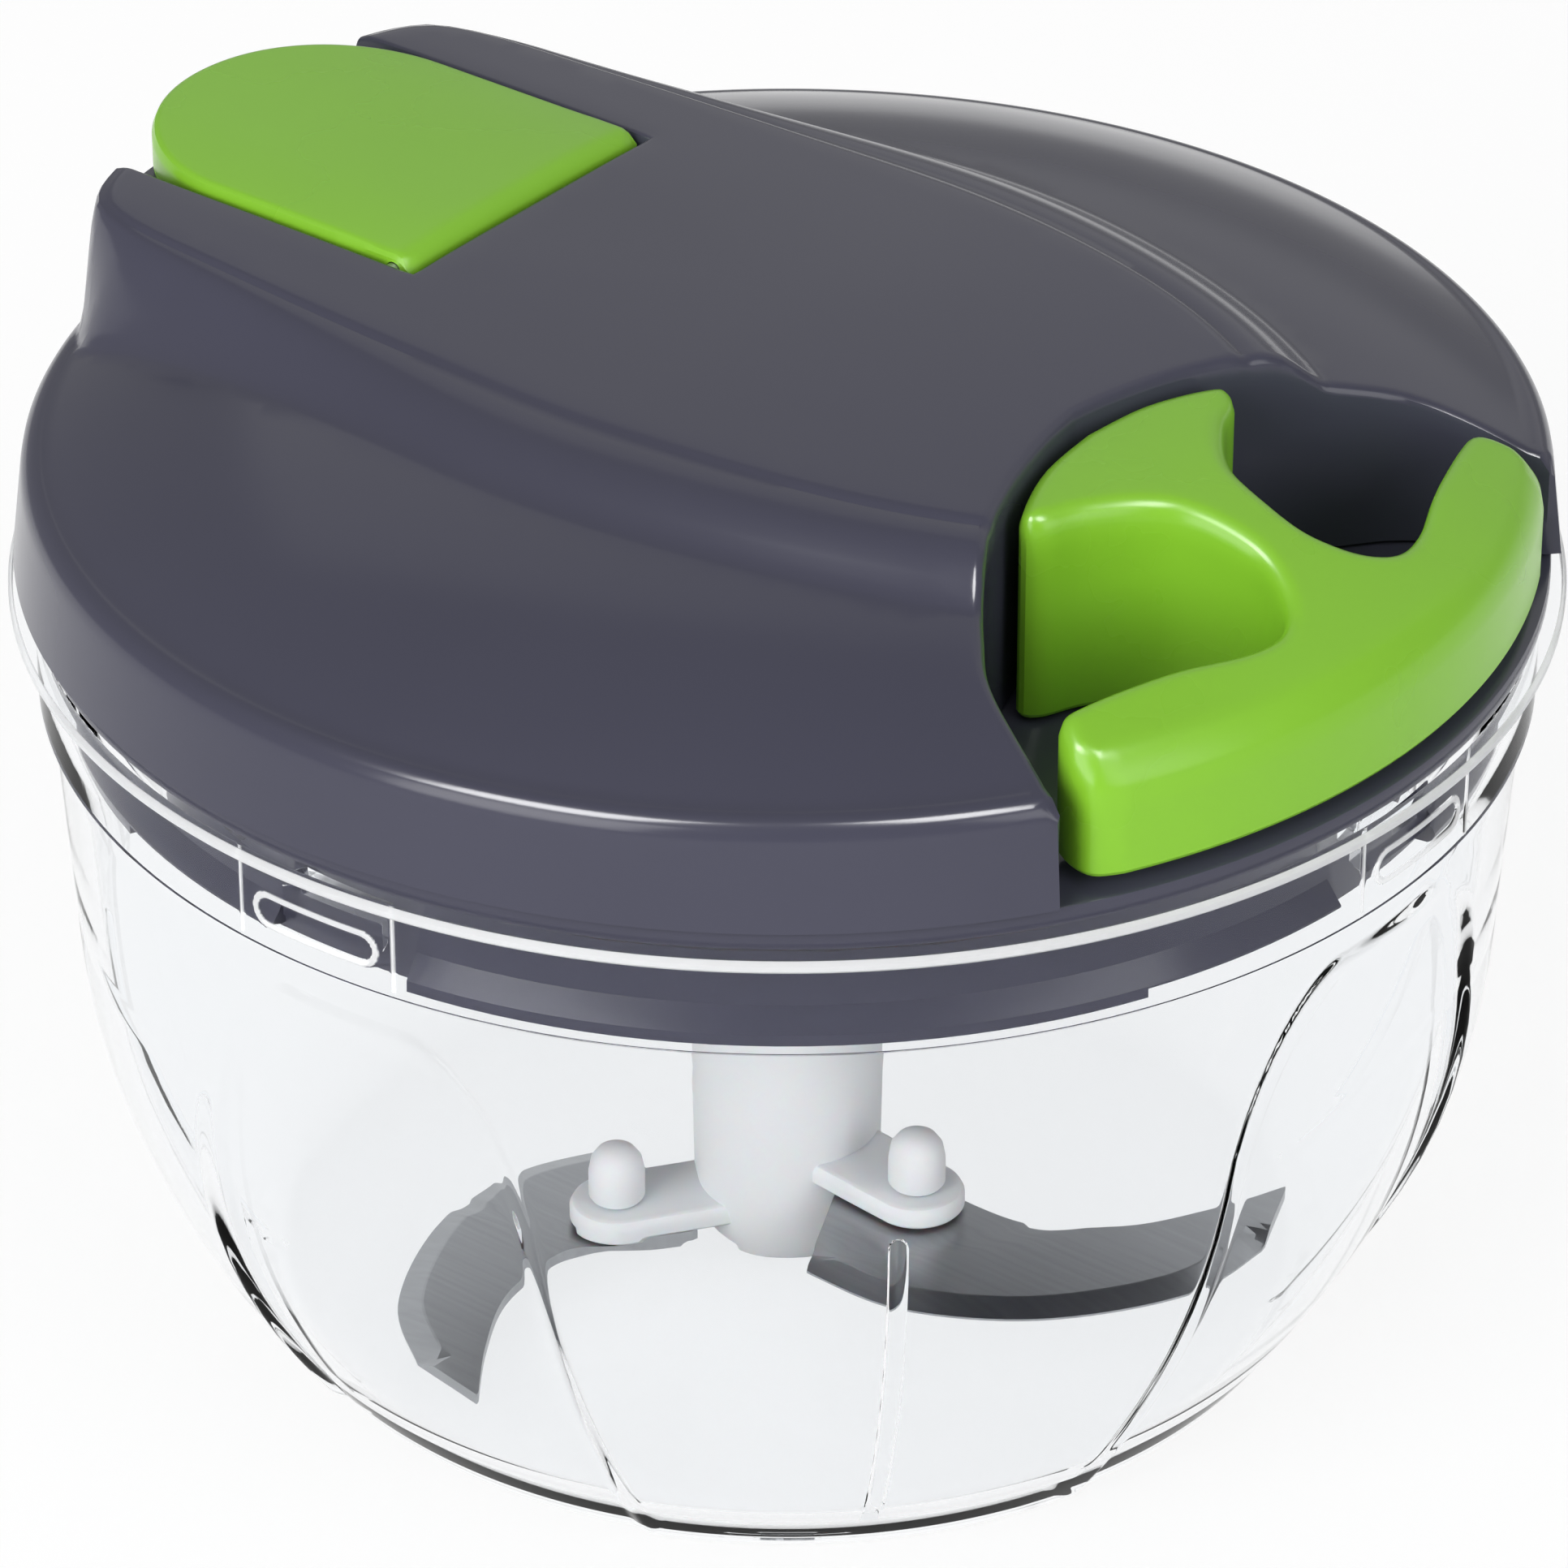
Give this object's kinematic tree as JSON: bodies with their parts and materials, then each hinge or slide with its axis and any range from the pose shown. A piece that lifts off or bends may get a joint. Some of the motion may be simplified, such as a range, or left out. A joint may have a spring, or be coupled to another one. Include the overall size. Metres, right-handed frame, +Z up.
{
  "type": "pull-string chopper",
  "caption": "Hand chopper with a clear round bowl, a steel-bladed rotor on a centre pin and a domed twist lid with a pull-cord handle and a hinged filler flap.",
  "frame": {"origin": "Centre of the flat underside of the bowl, on the axis that the rotor, the spool and the lid turn about.", "axes": "+Z is up along the rotor's axis. +X is the way the handle is pulled. The filler flap is at -X. The object is near symmetric about the XZ plane."},
  "size_m": [0.1312, 0.1312, 0.0959],
  "materials": {
    "clear_plastic": "clear polished moulded plastic",
    "slate_plastic": "smooth semi-gloss moulded ABS",
    "lime_plastic": "smooth semi-gloss moulded ABS",
    "milky_plastic": "milky translucent polypropylene",
    "white_nylon": "moulded nylon",
    "silicone": "soft moulded silicone",
    "steel": "brushed stainless steel",
    "cord": "braided polyester cord"
  },
  "bodies": {
    "bowl": {"bowl": "clear_plastic", "bowl_pin": "steel"},
    "seal": {"lid_seal": "silicone"},
    "lid": {"lid_cover": "slate_plastic", "lid_base": "slate_plastic", "filler_chute": "slate_plastic", "spring_cap": "slate_plastic", "shaft_bush": "white_nylon", "cord_eyelet": "white_nylon", "flap_hinge_pin": "steel", "cover_screw_1": "steel", "cover_screw_2": "steel", "cover_screw_3": "steel", "cover_screw_4": "steel", "spring_cap_screw_1": "steel", "spring_cap_screw_2": "steel", "spring_cap_screw_3": "steel", "rewind_spring": "steel", "cord_lead": "cord"},
    "spool": {"spool": "white_nylon", "drive_dog": "white_nylon", "dog_screw": "steel", "cord_winding": "cord"},
    "handle": {"pull_handle": "lime_plastic", "handle_plug": "lime_plastic", "cord_knot": "cord", "cord_run": "cord"},
    "flap": {"filler_flap": "lime_plastic", "flap_plug": "silicone"},
    "rotor": {"rotor_hub": "milky_plastic", "blade_low": "steel", "blade_middle": "steel", "blade_high": "steel", "blade_peg_low": "milky_plastic", "blade_peg_middle": "milky_plastic", "blade_peg_high": "milky_plastic"}
  },
  "joints": [
    {"name": "lid_lift", "type": "slide", "parent": "bowl", "child": "seal", "axis": [0, 0, 1], "range_m": [0, 0.1]},
    {"name": "lid_twist", "type": "hinge", "parent": "seal", "child": "lid", "pos_m": [0, 0, 0.071], "axis": [0, 0, 1], "range_deg": [-15, 0]},
    {"name": "handle_pull", "type": "slide", "parent": "lid", "child": "handle", "axis": [1, 0, 0], "range_m": [0, 0.45], "stiffness_N_per_m": 20, "springref_m": -0.15},
    {"name": "spool_spin", "type": "hinge", "parent": "lid", "child": "spool", "pos_m": [0, 0, 0.08], "axis": [0, 0, 1], "range_deg": [-5, 1990]},
    {"name": "rotor_spin", "type": "hinge", "parent": "bowl", "child": "rotor", "pos_m": [0, 0, 0.022], "axis": [0, 0, 1], "range_deg": [-5, 1990]},
    {"name": "flap_hinge", "type": "hinge", "parent": "lid", "child": "flap", "pos_m": [-0.0299, 0, 0.0938], "axis": [0, 1, 0], "range_deg": [0, 95]}
  ],
  "couplings": [
    {"joint": "spool_spin", "follows": "handle_pull", "rad_per_m": 76.923},
    {"joint": "rotor_spin", "follows": "handle_pull", "rad_per_m": 76.923}
  ]
}
